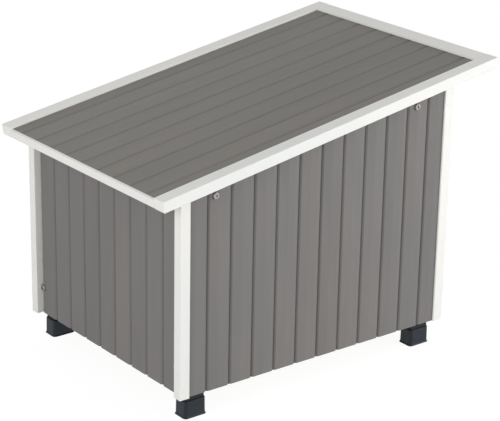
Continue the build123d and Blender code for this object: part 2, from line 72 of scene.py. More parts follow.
def addCamera(look):
    data = bpy.data.cameras.new("photoCamera")
    data.lens = look["lens"]
    data.sensor_width = look["sensorWidth"]
    data.clip_end = look["farthest"]
    camera = bpy.data.objects.new("photoCamera", data)
    turn = Matrix.Rotation(math.radians(look["heading"]), 4, "Z")
    tilt = Matrix.Rotation(math.radians(90.0 - look["dip"]), 4, "X")
    roll = Matrix.Rotation(math.radians(look["roll"]), 4, "Z")
    camera.matrix_world = Matrix.Translation(look["place"]) @ turn @ tilt @ roll
    bpy.context.scene.collection.objects.link(camera)
    bpy.context.scene.camera = camera


addCamera(photo)
print("camera placed")


# Node helpers

def put(tree, kind, inputs=None, **settings):
    made = tree.nodes.new(kind)
    for name, value in settings.items():
        setattr(made, name, value)
    for name, value in (inputs or {}).items():
        feed(tree, value, made.inputs[name])
    return made


def feed(tree, value, socket):
    if isinstance(value, bpy.types.NodeSocket):
        tree.links.new(value, socket)
    else:
        socket.default_value = value


def maths(tree, operation, *values, clamp=False):
    made = put(tree, "ShaderNodeMath", dict(enumerate(values)), operation=operation, use_clamp=clamp)
    return made.outputs[0]


def vectorMaths(tree, operation, *values):
    made = put(tree, "ShaderNodeVectorMath", dict(enumerate(values)), operation=operation)
    return made.outputs[0]


def mixColour(tree, factor, first, second, blend="MIX"):
    inputs = {0: factor, 6: first, 7: second}
    made = put(tree, "ShaderNodeMix", inputs, data_type="RGBA", blend_type=blend)
    return made.outputs[2]


def spread(tree, value, low, high, newLow=0.0, newHigh=1.0):
    # Map Range, clamped
    inputs = {0: value, 1: low, 2: high, 3: newLow, 4: newHigh}
    return put(tree, "ShaderNodeMapRange", inputs).outputs[0]


def opaque(colour):
    return (*colour, 1.0)


# Light, floor and background

studio = {
    "worldLevel": 0.43,
    "keyHeading": 313.0, "keyRise": 12.0, "keyPower": 124.0,
    "rearHeading": 197.0, "rearRise": 14.0, "rearPower": 76.0,
    "rightHeading": 80.0, "rightRise": 8.0, "rightPower": 38.0,
    "topHeading": 250.0, "topRise": 76.0, "topPower": 10.0,
    "distance": 4.2, "softboxSize": 2.6, "aimHeight": 0.28,
    "floorHalf": 12.0, "floorLevel": -0.0003, "floorColour": (0.80, 0.80, 0.80),
    "floorGlow": 0.86,  # how much of the seen floor is plain white rather than lit
    "floorWhite": 1.09,  # strength of that white
}


def seenDirectly(tree):
    # 1 for camera, glossy and transmitted rays
    path = put(tree, "ShaderNodeLightPath")
    first = maths(tree, "MAXIMUM", path.outputs["Is Camera Ray"], path.outputs["Is Glossy Ray"])
    return maths(tree, "MAXIMUM", first, path.outputs["Is Transmission Ray"])


def addWorld(look):
    world = bpy.data.worlds.new("studioWorld")
    world.use_nodes = True
    tree = world.node_tree
    background = tree.nodes["Background"]
    background.inputs["Color"].default_value = (1.0, 1.0, 1.0, 1.0)
    strength = spread(tree, seenDirectly(tree), 0.0, 1.0, look["worldLevel"], 1.0)
    tree.links.new(strength, background.inputs["Strength"])
    bpy.context.scene.world = world


def addSoftbox(side, look):
    name = side + "Softbox"
    data = bpy.data.lights.new(name, "AREA")
    data.shape = "SQUARE"
    data.size = look["softboxSize"]
    data.energy = look[side + "Power"]
    lamp = bpy.data.objects.new(name, data)
    around = math.radians(look[side + "Heading"])
    up = math.radians(look[side + "Rise"])
    back = Vector((math.sin(around) * math.cos(up), -math.cos(around) * math.cos(up), math.sin(up)))
    middle = Vector((0.0, 0.0, look["aimHeight"]))
    lamp.location = middle + back * look["distance"]
    lamp.rotation_euler = back.to_track_quat("Z", "Y").to_euler()
    bpy.context.scene.collection.objects.link(lamp)


def addFloor(look):
    half = look["floorHalf"]
    level = look["floorLevel"]
    mesh = bpy.data.meshes.new("floor")
    outline = [(-half, -half, level), (half, -half, level), (half, half, level), (-half, half, level)]
    mesh.from_pydata(outline, [], [(0, 1, 2, 3)])
    floor = bpy.data.objects.new("floor", mesh)
    bpy.context.scene.collection.objects.link(floor)
    material = bpy.data.materials.new("floorPaper")
    material.use_nodes = True
    tree = material.node_tree
    tree.nodes.remove(tree.nodes["Principled BSDF"])
    paper = put(tree, "ShaderNodeBsdfDiffuse", {"Color": opaque(look["floorColour"])})
    glow = put(tree, "ShaderNodeEmission", {"Strength": look["floorWhite"]})
    share = maths(tree, "MULTIPLY", seenDirectly(tree), look["floorGlow"])
    both = put(tree, "ShaderNodeMixShader", {0: share, 1: paper.outputs[0], 2: glow.outputs[0]})
    tree.links.new(both.outputs[0], tree.nodes["Material Output"].inputs["Surface"])
    mesh.materials.append(material)


bpy.context.scene.view_settings.view_transform = "Standard"
addWorld(studio)
for side in ("key", "rear", "right", "top"):
    addSoftbox(side, studio)
addFloor(studio)
print("studio lit")


# Which way the grain runs, as a turn that brings the grain onto local X

grainTurns = {
    "upright": (0.0, math.radians(90.0), 0.0),
    "across": (0.0, 0.0, 0.0),
    "lengthwise": (0.0, 0.0, math.radians(-90.0)),
    "sloped": (roofSlope, 0.0, math.radians(-90.0)),
}


def grainPlace(tree, grain, boards=None):
    # Gives object coordinates with the grain along X, a random number for each board of a row,
    # and the distance from the nearest seam. Each board gets its own stretch of the pattern.
    place = put(tree, "ShaderNodeTexCoord").outputs["Object"]
    turned = put(tree, "ShaderNodeMapping", {"Vector": place, "Rotation": grainTurns[grain]}).outputs[0]
    if not boards:
        return turned, None, None
    axis, seam = boards
    parts = put(tree, "ShaderNodeSeparateXYZ", {0: place})
    along = maths(tree, "SUBTRACT", parts.outputs[axis], seam)
    index = maths(tree, "FLOOR", maths(tree, "DIVIDE", along, boardPitch))
    chance = put(tree, "ShaderNodeTexWhiteNoise", {"W": index}, noise_dimensions="1D")
    shift = vectorMaths(tree, "MULTIPLY", chance.outputs["Color"], boardShift)
    # How far from the nearest seam, below zero on one side of it
    share = maths(tree, "FRACT", maths(tree, "MULTIPLY_ADD", along, 1.0 / boardPitch, 0.5))
    fromSeam = maths(tree, "MULTIPLY", maths(tree, "SUBTRACT", share, 0.5), boardPitch)
    return vectorMaths(tree, "ADD", turned, shift), chance.outputs["Value"], fromSeam


def stretchedNoise(tree, place, stretch, detail=3.0, roughness=0.5):
    scaled = vectorMaths(tree, "MULTIPLY", place, stretch)
    inputs = {"Vector": scaled, "Scale": 1.0, "Detail": detail, "Roughness": roughness}
    return put(tree, "ShaderNodeTexNoise", inputs).outputs["Fac"]


def growthRings(tree, place, look):
    # Contour lines of a slow noise that is stretched along the grain
    slow = stretchedNoise(tree, place, look["ringStretch"], 1.0)
    turns = maths(tree, "MULTIPLY", slow, look["ringCount"] * 2.0 * math.pi)
    wave = maths(tree, "SINE", turns)
    return spread(tree, wave, -1.0, 1.0)


def newMaterial(name):
    material = bpy.data.materials.new(name)
    material.use_nodes = True
    tree = material.node_tree
    return material, tree, tree.nodes["Principled BSDF"]


def bump(tree, height, strength, depth, shader):
    made = put(tree, "ShaderNodeBump", {"Height": height, "Strength": strength, "Distance": depth})
    tree.links.new(made.outputs[0], shader.inputs["Normal"])
    return made


def roughen(tree, pattern, low, high, look, shader):
    # The smoother and the rougher end of the look, spread over a pattern
    smooth, rough = look["roughness"]
    tree.links.new(spread(tree, pattern, low, high, smooth, rough), shader.inputs["Roughness"])


# Painted wood: the grain stands a little through the paint

greyPaint = {
    "colour": (0.189, 0.182, 0.178), "specular": 0.20,
    "boardSpread": 0.05, "cloudSpread": 0.05, "fibreSpread": 0.08, "ringSpread": 0.03,
    "roughness": (0.60, 0.76), "ringStretch": (1.6, 13.0, 13.0), "ringCount": 5.0,
    "fibreStretch": (9.0, 420.0, 420.0), "cloudStretch": (3.0, 9.0, 9.0), "peelScale": 700.0,
    "cool": (0.985, 1.0, 1.01), "warm": (1.02, 1.0, 0.985),
    "fibreHeight": 0.45, "ringHeight": 0.35, "peelHeight": 0.2,
    "seamShade": 0.30, "seamShadeStart": 0.0006, "seamShadeReach": 0.0030,  # painted shade in the seams, darker towards each seam
    "noseDepth": 0.0, "noseStart": 0.0042, "noseReach": 0.0100,  # the eased edge beside a groove
    "farStart": -0.024, "farReach": -0.0045,  # its fade on the other side of the seam
    "bumpStrength": 0.30, "bumpDepth": 0.0006,
}
whitePaint = {
    "colour": (0.815, 0.815, 0.788), "specular": 0.18,
    "boardSpread": 0.0, "cloudSpread": 0.025, "fibreSpread": 0.03, "ringSpread": 0.012,
    "roughness": (0.48, 0.64), "ringStretch": (1.4, 16.0, 16.0), "ringCount": 4.0,
    "fibreStretch": (7.0, 380.0, 380.0), "cloudStretch": (3.0, 9.0, 9.0), "peelScale": 620.0,
    "cool": (0.985, 1.0, 1.01), "warm": (1.02, 1.0, 0.985),
    "fibreHeight": 0.4, "ringHeight": 0.3, "peelHeight": 0.25,
    "bumpStrength": 0.22, "bumpDepth": 0.0005,
}

sidePaint = {**greyPaint, "noseDepth": 0.0024}
roofPaint = {**greyPaint, "seamShade": 0.12, "colour": (0.218, 0.210, 0.197)}  # lighter than the walls' grey: painted sheen of the light on the top; less painted shade in its seams


def paintedWood(name, look, grain, boards=None):
    material, tree, shader = newMaterial(name)
    place, chance, fromSeam = grainPlace(tree, grain, boards)
    fibre = stretchedNoise(tree, place, look["fibreStretch"], 4.0, 0.6)
    rings = growthRings(tree, place, look)
    cloud = stretchedNoise(tree, place, look["cloudStretch"], 2.0)
    peel = put(tree, "ShaderNodeTexNoise", {"Vector": place, "Scale": look["peelScale"], "Detail": 2.0})
    # Tone: 1 plus small swings round it
    tone = maths(tree, "MULTIPLY_ADD", fibre, look["fibreSpread"], 1.0 - look["fibreSpread"] / 2)
    tone = maths(tree, "MULTIPLY_ADD", rings, look["ringSpread"], tone)
    tone = maths(tree, "MULTIPLY_ADD", cloud, look["cloudSpread"] * 2, tone)
    tone = maths(tree, "SUBTRACT", tone, look["cloudSpread"] + look["ringSpread"] / 2)
    if chance is not None:
        tone = maths(tree, "MULTIPLY_ADD", chance, look["boardSpread"], tone)
        tone = maths(tree, "SUBTRACT", tone, look["boardSpread"] / 2)
        # Darker towards each seam: painted shade of the groove between the boards
        reach = maths(tree, "ABSOLUTE", fromSeam)
        seamShade = spread(tree, reach, look["seamShadeStart"], look["seamShadeReach"], 1.0 - look["seamShade"], 1.0)
        tone = maths(tree, "MULTIPLY", tone, seamShade)
    toned = vectorMaths(tree, "SCALE", look["colour"])
    tree.links.new(tone, toned.node.inputs["Scale"])
    tint = mixColour(tree, spread(tree, cloud, 0.35, 0.65), opaque(look["cool"]), opaque(look["warm"]))
    tree.links.new(mixColour(tree, 1.0, toned, tint, "MULTIPLY"), shader.inputs["Base Color"])
    roughen(tree, fibre, 0.25, 0.75, look, shader)
    shader.inputs["Specular IOR Level"].default_value = look["specular"]
    height = maths(tree, "MULTIPLY", fibre, look["fibreHeight"])
    height = maths(tree, "MULTIPLY_ADD", rings, look["ringHeight"], height)
    height = maths(tree, "MULTIPLY_ADD", peel.outputs["Fac"], look["peelHeight"], height)
    relief = bump(tree, height, look["bumpStrength"], look["bumpDepth"], shader)
    if fromSeam is not None and look["noseDepth"]:
        # The edge beside each groove is eased over, as paint and planing leave it
        near = spread(tree, fromSeam, look["noseStart"], look["noseReach"], 1.0, 0.0)
        eased = maths(tree, "MULTIPLY", near, near)
        far = spread(tree, fromSeam, look["farStart"], look["farReach"], 0.0, 1.0)
        sunk = maths(tree, "MULTIPLY", eased, far)
        left = maths(tree, "SUBTRACT", 1.0, sunk)
        inputs = {"Height": left, "Strength": 1.0, "Distance": look["noseDepth"]}
        nose = put(tree, "ShaderNodeBump", inputs)
        tree.links.new(nose.outputs[0], relief.inputs["Normal"])
    return material


# Bare pine of the hidden frame and the floor

barePine = {
    "early": (0.62, 0.44, 0.26), "late": (0.43, 0.255, 0.12), "knot": (0.16, 0.075, 0.035),
    "ringStretch": (1.1, 11.0, 11.0), "ringCount": 7.0, "fibreStretch": (10.0, 500.0, 500.0),
    "roughness": (0.55, 0.75), "knotStretch": (5.0, 13.0, 13.0),
    "knotSize": 0.13, "knotCore": 0.0715,
    "bumpStrength": 0.35, "bumpDepth": 0.0005,
}


def bareWood(name, look, grain, boards=None):
    material, tree, shader = newMaterial(name)
    place = grainPlace(tree, grain, boards)[0]
    fibre = stretchedNoise(tree, place, look["fibreStretch"], 4.0, 0.65)
    rings = growthRings(tree, place, look)
    spaced = vectorMaths(tree, "MULTIPLY", place, look["knotStretch"])
    inputs = {"Vector": spaced, "Scale": 1.0, "Randomness": 1.0}
    cell = put(tree, "ShaderNodeTexVoronoi", inputs)
    knot = spread(tree, cell.outputs["Distance"], look["knotSize"], look["knotCore"])
    band = maths(tree, "MULTIPLY_ADD", fibre, 0.5, maths(tree, "MULTIPLY", rings, 0.6))
    wood = mixColour(tree, spread(tree, band, 0.25, 0.95), opaque(look["early"]), opaque(look["late"]))
    tree.links.new(mixColour(tree, knot, wood, opaque(look["knot"])), shader.inputs["Base Color"])
    roughen(tree, fibre, 0.25, 0.75, look, shader)
    height = maths(tree, "MULTIPLY_ADD", rings, 0.4, maths(tree, "MULTIPLY", fibre, 0.6))
    bump(tree, height, look["bumpStrength"], look["bumpDepth"], shader)
    return material


# Legs: wood stained black, the pores still open

blackStain = {
    "colour": (0.008, 0.010, 0.015), "worn": (0.022, 0.025, 0.031), "specular": 0.25,
    "fibreStretch": (10.0, 450.0, 450.0), "roughness": (0.45, 0.65),
    "bumpStrength": 0.4, "bumpDepth": 0.0006,
}


def stainedWood(name, look, grain):
    material, tree, shader = newMaterial(name)
    place = grainPlace(tree, grain)[0]
    fibre = stretchedNoise(tree, place, look["fibreStretch"], 4.0, 0.65)
    colour = mixColour(tree, spread(tree, fibre, 0.45, 0.8), opaque(look["colour"]), opaque(look["worn"]))
    tree.links.new(colour, shader.inputs["Base Color"])
    roughen(tree, fibre, 0.25, 0.75, look, shader)
    shader.inputs["Specular IOR Level"].default_value = look["specular"]
    bump(tree, fibre, look["bumpStrength"], look["bumpDepth"], shader)
    return material


# Moulded black plastic of the foot caps and the flap's clips

capPlastic = {
    "colour": (0.005, 0.009, 0.015), "pale": (0.011, 0.016, 0.024), "specular": 0.30,
    "grainScale": 1500.0, "cloudScale": 28.0, "roughness": (0.42, 0.56),
    "bumpStrength": 0.25, "bumpDepth": 0.0002,
}


def mouldedPlastic(name, look):
    material, tree, shader = newMaterial(name)
    place = put(tree, "ShaderNodeTexCoord").outputs["Object"]
    grain = put(tree, "ShaderNodeTexNoise", {"Vector": place, "Scale": look["grainScale"], "Detail": 2.0})
    cloud = put(tree, "ShaderNodeTexNoise", {"Vector": place, "Scale": look["cloudScale"], "Detail": 3.0})
    haze = spread(tree, cloud.outputs["Fac"], 0.35, 0.75)
    colour = mixColour(tree, haze, opaque(look["colour"]), opaque(look["pale"]))
    tree.links.new(colour, shader.inputs["Base Color"])
    roughen(tree, cloud.outputs["Fac"], 0.3, 0.7, look, shader)
    shader.inputs["Specular IOR Level"].default_value = look["specular"]
    bump(tree, grain.outputs["Fac"], look["bumpStrength"], look["bumpDepth"], shader)
    return material


# Zinc plate on the nuts, brackets, screws, dowels, rivets and the pin, and a weathered one on the bolts

zincPlate = {
    "colour": (0.60, 0.60, 0.585), "dull": (0.47, 0.475, 0.48),
    "patchScale": 160.0, "scratchScale": (900.0, 60.0, 900.0), "roughness": (0.28, 0.48),
    "bumpStrength": 0.12, "bumpDepth": 0.0001,
}

weatheredZinc = {
    "colour": (0.34, 0.315, 0.31), "dull": (0.25, 0.23, 0.225),
    "patchScale": 220.0, "scratchScale": (900.0, 900.0, 900.0), "roughness": (0.50, 0.66),
    "bumpStrength": 0.18, "bumpDepth": 0.0001,
}


def platedSteel(name, look):
    material, tree, shader = newMaterial(name)
    place = put(tree, "ShaderNodeTexCoord").outputs["Object"]
    patch = put(tree, "ShaderNodeTexNoise", {"Vector": place, "Scale": look["patchScale"], "Detail": 3.0})
    scratch = stretchedNoise(tree, place, look["scratchScale"], 2.0)
    fade = spread(tree, patch.outputs["Fac"], 0.35, 0.65)
    colour = mixColour(tree, fade, opaque(look["colour"]), opaque(look["dull"]))
    tree.links.new(colour, shader.inputs["Base Color"])
    roughen(tree, patch.outputs["Fac"], 0.3, 0.7, look, shader)
    shader.inputs["Metallic"].default_value = 1.0
    bump(tree, scratch, look["bumpStrength"], look["bumpDepth"], shader)
    return material


# Clear sheet of the flap

clearSheet = {
    "colour": (0.93, 0.965, 0.97), "ior": 1.49, "roughness": (0.015, 0.06), "smearScale": 22.0,
    "waveScale": 9.0, "bumpStrength": 0.05, "bumpDepth": 0.001,
}


def clearAcrylic(name, look):
    material, tree, shader = newMaterial(name)
    place = put(tree, "ShaderNodeTexCoord").outputs["Object"]
    smear = put(tree, "ShaderNodeTexNoise", {"Vector": place, "Scale": look["smearScale"], "Detail": 4.0})
    wave = put(tree, "ShaderNodeTexNoise", {"Vector": place, "Scale": look["waveScale"], "Detail": 0.0})
    shader.inputs["Base Color"].default_value = opaque(look["colour"])
    shader.inputs["Transmission Weight"].default_value = 1.0
    shader.inputs["IOR"].default_value = look["ior"]
    roughen(tree, smear.outputs["Fac"], 0.45, 0.75, look, shader)
    bump(tree, wave.outputs["Fac"], look["bumpStrength"], look["bumpDepth"], shader)
    return material


# A seam of each row of boards, and every finish

sideSeam = (wallLow.y + wallHigh.y) / 2 - 5 * boardPitch
endSeam = -3.5 * boardPitch
greySide = paintedWood("greyPaintSideWalls", sidePaint, "upright", ("Y", sideSeam))
greyEnd = paintedWood("greyPaintEndWalls", greyPaint, "upright", ("X", endSeam))
greyRoof = paintedWood("greyPaintRoof", roofPaint, "sloped", ("X", 0.0))
whiteUpright = paintedWood("whitePaintUpright", whitePaint, "upright")
whiteAcross = paintedWood("whitePaintAcross", whitePaint, "across")
whiteSloped = paintedWood("whitePaintSloped", whitePaint, "sloped")
pineAcross = bareWood("pineAcross", barePine, "across")
pineLengthwise = bareWood("pineLengthwise", barePine, "lengthwise")
pineSloped = bareWood("pineSloped", barePine, "sloped")
pineFloor = bareWood("pineFloor", barePine, "lengthwise", ("X", endSeam))
legStain = stainedWood("blackStainedLegs", blackStain, "upright")
plastic = mouldedPlastic("mouldedBlackPlastic", capPlastic)
zinc = platedSteel("zincPlatedSteel", zincPlate)
boltZinc = platedSteel("weatheredBoltZinc", weatheredZinc)
acrylic = clearAcrylic("clearAcrylic", clearSheet)


def dress(material, *names):
    for name in names:
        for slot in nodes[name].material_slots:
            slot.material = material


dress(greyRoof, *(f"roof_board_{number:02d}" for number in range(1, 11)))
dress(greySide, "left_wall_boards", "right_wall_boards")
dress(greyEnd, "rear_wall_boards", "front_boards_left_of_door", "front_boards_right_of_door",
      "front_boards_above_door", "front_boards_below_door")
dress(whiteSloped, "roof_rail_left", "roof_rail_right")
dress(whiteAcross, "roof_rail_front", "roof_strip_rear", "door_frame_head", "door_frame_sill")
dress(whiteUpright, "door_frame_left", "door_frame_right",
      *("corner_post_" + corner for corner in corners))
dress(pineAcross, "roof_batten_rear", "roof_batten_front", "bottom_cleat_rear", "bottom_cleat_front",
      "top_cleat_rear", "top_cleat_front")
dress(pineLengthwise, "bottom_cleat_left", "bottom_cleat_right")
dress(pineSloped, "top_cleat_left", "top_cleat_right")
dress(pineFloor, "floor_boards")
dress(legStain, *("leg_" + corner for corner in corners))
dress(plastic, "flap_clips", *("foot_cap_" + corner for corner in corners))
dress(acrylic, "flap_panel")
dress(zinc, "flap_pin", "flap_rivets", "roof_bolt_cross_dowels", "wall_bolt_nuts",
      "top_corner_brackets", "bracket_screws")
dress(boltZinc, "roof_bolts", "wall_bolts")
print("materials dressed")


# Small hardware, made by Geometry Nodes: one shape, planted on a few points

slopedSeat = (0.0, 0.377769, 0.408)  # the low corner of the roof frame, which the slope turns about
roundSides = 48
weldDistance = 0.000004
creaseAngle = math.radians(32.0)
topSlack = 0.00005  # how near the top a point of a rod counts as its top
boreLength = 0.02
boreStart = -0.005


def onRoof(x, along, up):
    # A place in the roof's own frame: x across, along the slope from its low edge, up square to it
    y = slopedSeat[1] - along * math.cos(roofSlope) + up * math.sin(roofSlope)
    z = slopedSeat[2] + along * math.sin(roofSlope) + up * math.cos(roofSlope)
    return (x, y, z)


def newGrower(name, sizes):
    # A Geometry Nodes tree with one named input for each size
    tree = bpy.data.node_groups.new(name, "GeometryNodeTree")
    tree.interface.new_socket("Geometry", in_out="INPUT", socket_type="NodeSocketGeometry")
    tree.interface.new_socket("Geometry", in_out="OUTPUT", socket_type="NodeSocketGeometry")
    for label in sizes:
        tree.interface.new_socket(label, in_out="INPUT", socket_type="NodeSocketFloat")
    tree.interface.new_socket("finish", in_out="INPUT", socket_type="NodeSocketMaterial")
    return tree, tree.nodes.new("NodeGroupInput").outputs


def combine(tree, x=0.0, y=0.0, z=0.0):
    return put(tree, "ShaderNodeCombineXYZ", {0: x, 1: y, 2: z}).outputs[0]


def lifted(tree, shape, height):
    inputs = {"Geometry": shape, "Translation": combine(tree, z=height)}
    return put(tree, "GeometryNodeTransform", inputs).outputs[0]


def flipped(tree, shape):
    # Half a turn about X
    inputs = {"Geometry": shape, "Rotation": (math.pi, 0.0, 0.0)}
    return put(tree, "GeometryNodeTransform", inputs).outputs[0]


def rod(tree, sides, radius, height, rings=1):
    # A closed rod that stands on Z = 0
    inputs = {"Vertices": sides, "Side Segments": rings, "Radius": radius, "Depth": height}
    made = put(tree, "GeometryNodeMeshCylinder", inputs).outputs[0]
    return lifted(tree, made, maths(tree, "MULTIPLY", height, 0.5))


def taper(tree, sides, low, high, height):
    inputs = {"Vertices": sides, "Radius Bottom": low, "Radius Top": high, "Depth": height}
    return put(tree, "GeometryNodeMeshCone", inputs).outputs[0]


def carve(tree, operation, *shapes):
    made = put(tree, "GeometryNodeMeshBoolean", operation=operation, solver="EXACT")
    if operation == "DIFFERENCE":
        tree.links.new(shapes[0], made.inputs[0])
        shapes = shapes[1:]
    for shape in shapes:
        tree.links.new(shape, made.inputs[1])
    return made.outputs[0]


def bevelledTop(tree, shape, radius, height, cut, lean=1.0):
    # Cuts a cone off the top edge of a round or hexagonal shape
    high = maths(tree, "SUBTRACT", radius, cut)
    low = maths(tree, "MULTIPLY_ADD", height, lean, high)
    return carve(tree, "INTERSECT", shape, taper(tree, roundSides, low, high, height))


def threadedRod(tree, size, rings, sides=24):
    # Hangs below Z = 0. Its lower part carries a helical thread, its last ring is drawn in to a tip.
    length = size["shankLength"]
    worked = size["threadLength"]
    inputs = {"Vertices": sides, "Side Segments": rings, "Radius": size["shankRadius"], "Depth": worked}
    made = put(tree, "GeometryNodeMeshCylinder", inputs).outputs[0]
    place = put(tree, "GeometryNodeInputPosition").outputs[0]
    parts = put(tree, "ShaderNodeSeparateXYZ", {0: place}).outputs
    half = maths(tree, "MULTIPLY", worked, 0.5)
    turn = maths(tree, "DIVIDE", maths(tree, "ARCTAN2", parts[1], parts[0]), 2.0 * math.pi)
    climb = maths(tree, "DIVIDE", parts[2], size["threadPitch"])
    phase = maths(tree, "FRACT", maths(tree, "SUBTRACT", climb, turn))
    ridge = maths(tree, "ABSOLUTE", maths(tree, "MULTIPLY_ADD", phase, 2.0, -1.0))
    isTop = maths(tree, "GREATER_THAN", parts[2], maths(tree, "SUBTRACT", half, topSlack))
    root = maths(tree, "DIVIDE", size["threadDepth"], size["shankRadius"])
    inset = maths(tree, "MULTIPLY", root, maths(tree, "SUBTRACT", 1.0, ridge))
    scale = maths(tree, "SUBTRACT", 1.0, inset)
    fromTip = maths(tree, "ADD", parts[2], half)
    point = spread(tree, fromTip, 0.0, size["tipLength"], size["tipShare"], 1.0)
    scale = maths(tree, "MULTIPLY", scale, point)
    scale = maths(tree, "MAXIMUM", scale, isTop)
    low = maths(tree, "SUBTRACT", fromTip, length)
    height = maths(tree, "MULTIPLY", low, maths(tree, "SUBTRACT", 1.0, isTop))
    height = maths(tree, "MULTIPLY_ADD", isTop, size["shankInHead"], height)
    across = maths(tree, "MULTIPLY", parts[0], scale)
    deep = maths(tree, "MULTIPLY", parts[1], scale)
    moved = combine(tree, across, deep, height)
    return put(tree, "GeometryNodeSetPosition", {"Geometry": made, "Position": moved}).outputs[0]


def dome(tree, radius, height, rings=9, sides=32):
    # A low dome on Z = 0, its lower half pressed flat
    inputs = {"Segments": sides, "Rings": rings * 2, "Radius": radius}
    ball = put(tree, "GeometryNodeMeshUVSphere", inputs).outputs[0]
    place = put(tree, "GeometryNodeInputPosition").outputs[0]
    parts = put(tree, "ShaderNodeSeparateXYZ", {0: place}).outputs
    upper = maths(tree, "MAXIMUM", parts[2], 0.0)
    rise = maths(tree, "MULTIPLY", upper, maths(tree, "DIVIDE", height, radius))
    moved = combine(tree, parts[0], parts[1], rise)
    return put(tree, "GeometryNodeSetPosition", {"Geometry": ball, "Position": moved}).outputs[0]


def plantOnPoints(tree, entry, shape):
    # One shape on each point, its Z along the point's aim, then real geometry with its finish
    named = put(tree, "GeometryNodeInputNamedAttribute", {"Name": "aim"}, data_type="FLOAT_VECTOR")
    aim = named.outputs[0]
    turn = put(tree, "FunctionNodeAlignRotationToVector", {"Vector": aim}, axis="Z").outputs[0]
    inputs = {"Geometry": shape, "Distance": weldDistance}
    welded = put(tree, "GeometryNodeMergeByDistance", inputs).outputs[0]
    inputs = {"Points": entry["Geometry"], "Instance": welded, "Rotation": turn}
    planted = put(tree, "GeometryNodeInstanceOnPoints", inputs).outputs[0]
    real = put(tree, "GeometryNodeRealizeInstances", {"Geometry": planted}).outputs[0]
    inputs = {"Geometry": real, "Shade Smooth": True}
    smooth = put(tree, "GeometryNodeSetShadeSmooth", inputs, domain="FACE")
    angle = put(tree, "GeometryNodeInputMeshEdgeAngle").outputs[0]
    isSharp = maths(tree, "GREATER_THAN", angle, creaseAngle)
    inputs = {"Geometry": smooth.outputs[0], "Selection": isSharp, "Shade Smooth": False}
    creased = put(tree, "GeometryNodeSetShadeSmooth", inputs, domain="EDGE").outputs[0]
    inputs = {"Geometry": creased, "Material": entry["finish"]}
    dressed = put(tree, "GeometryNodeSetMaterial", inputs).outputs[0]
    tree.links.new(dressed, tree.nodes.new("NodeGroupOutput").inputs[0])


def growHardware(name, tree, sizes, seats, finish, body, node):
    # seats: a place and an aim for each one. The result is a plain mesh that replaces the CAD node.
    mesh = bpy.data.meshes.new(name + "Seats")
    mesh.from_pydata([place for place, aim in seats], [], [])
    aims = mesh.attributes.new("aim", "FLOAT_VECTOR", "POINT")
    for item, (place, aim) in zip(aims.data, seats):
        item.vector = aim
    holder = bpy.data.objects.new(name + "Seats", mesh)
    bpy.context.scene.collection.objects.link(holder)
    grower = holder.modifiers.new("grow", "NODES")
    grower.node_group = tree
    for item in tree.interface.items_tree:
        if item.in_out == "INPUT" and item.name in sizes:
            grower[item.identifier] = sizes[item.name]
        if item.name == "finish":
            grower[item.identifier] = finish
    grown = holder.evaluated_get(bpy.context.evaluated_depsgraph_get())
    solid = bpy.data.meshes.new_from_object(grown)
    holder.modifiers.remove(grower)
    bpy.data.objects.remove(holder)
    solid.name = name
    solid.materials.clear()
    solid.materials.append(finish)
    piece = bpy.data.objects.new(name, solid)
    bpy.context.scene.collection.objects.link(piece)
    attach(piece, body)
    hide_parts(node)
    print("grown", name, len(solid.polygons), "faces")


# Socket bolts: two under the roof on each side, one low at each corner

boltSizes = {
    "headRadius": 0.0065, "headHeight": 0.0034, "headBevel": 0.0008,
    "socketFlats": 0.0040, "socketDepth": 0.0018,
    "shankRadius": 0.0030, "shankInHead": 0.0006, "threadLength": 0.022, "threadPitch": 0.0010,
    "threadDepth": 0.00045, "tipLength": 0.0007, "tipShare": 0.82,
}
roofBoltPlaces = {"side": 0.2415, "along": (0.117, 0.580), "up": -0.0175, "length": 0.068}
wallBoltPlaces = {"side": 0.2193, "rear": 0.323269, "front": -0.273731, "height": 0.099, "length": 0.062}


def boltTree(sizes):
    tree, size = newGrower("socketBolt", sizes)
    head = rod(tree, roundSides, size["headRadius"], size["headHeight"])
    head = bevelledTop(tree, head, size["headRadius"], size["headHeight"], size["headBevel"])
    socket = rod(tree, 6, maths(tree, "DIVIDE", size["socketFlats"], math.sqrt(3.0)), size["headHeight"])
    floor = maths(tree, "SUBTRACT", size["headHeight"], size["socketDepth"])
    head = carve(tree, "DIFFERENCE", head, lifted(tree, socket, floor))
    shank = threadedRod(tree, size, 110)
    plantOnPoints(tree, size, carve(tree, "UNION", head, shank))
    return tree


# Washer and nut behind each wall bolt

nutSizes = {
    "nutFlats": 0.010, "nutHeight": 0.005, "boreRadius": 0.00305,
    "washerRadius": 0.007, "washerThickness": 0.0015, "washerBevel": 0.0002, "restGap": 0.00002,
}
legFace = {"rear": 0.271269, "front": -0.221731}


def nutTree(sizes):
    tree, size = newGrower("washerAndNut", sizes)
    flats = maths(tree, "MULTIPLY", size["nutFlats"], 0.5)
    corner = maths(tree, "DIVIDE", size["nutFlats"], math.sqrt(3.0))
    nut = rod(tree, 6, corner, size["nutHeight"])
    high = bevelledTop(tree, nut, flats, size["nutHeight"], 0.0, math.sqrt(3.0))
    spun = flipped(tree, high)
    spun = lifted(tree, spun, size["nutHeight"])
    both = bevelledTop(tree, spun, flats, size["nutHeight"], 0.0, math.sqrt(3.0))
    bore = lifted(tree, rod(tree, 32, size["boreRadius"], boreLength), boreStart)
    nut = carve(tree, "DIFFERENCE", both, bore)
    nut = lifted(tree, nut, maths(tree, "ADD", size["washerThickness"], size["restGap"]))
    washer = rod(tree, roundSides, size["washerRadius"], size["washerThickness"])
    washer = bevelledTop(tree, washer, size["washerRadius"], size["washerThickness"], size["washerBevel"])
    washer = carve(tree, "DIFFERENCE", washer, bore)
    joined = put(tree, "GeometryNodeJoinGeometry")
    tree.links.new(nut, joined.inputs[0])
    tree.links.new(washer, joined.inputs[0])
    plantOnPoints(tree, size, joined.outputs[0])
    return tree


# Pan head screws of the corner brackets, with a cross recess

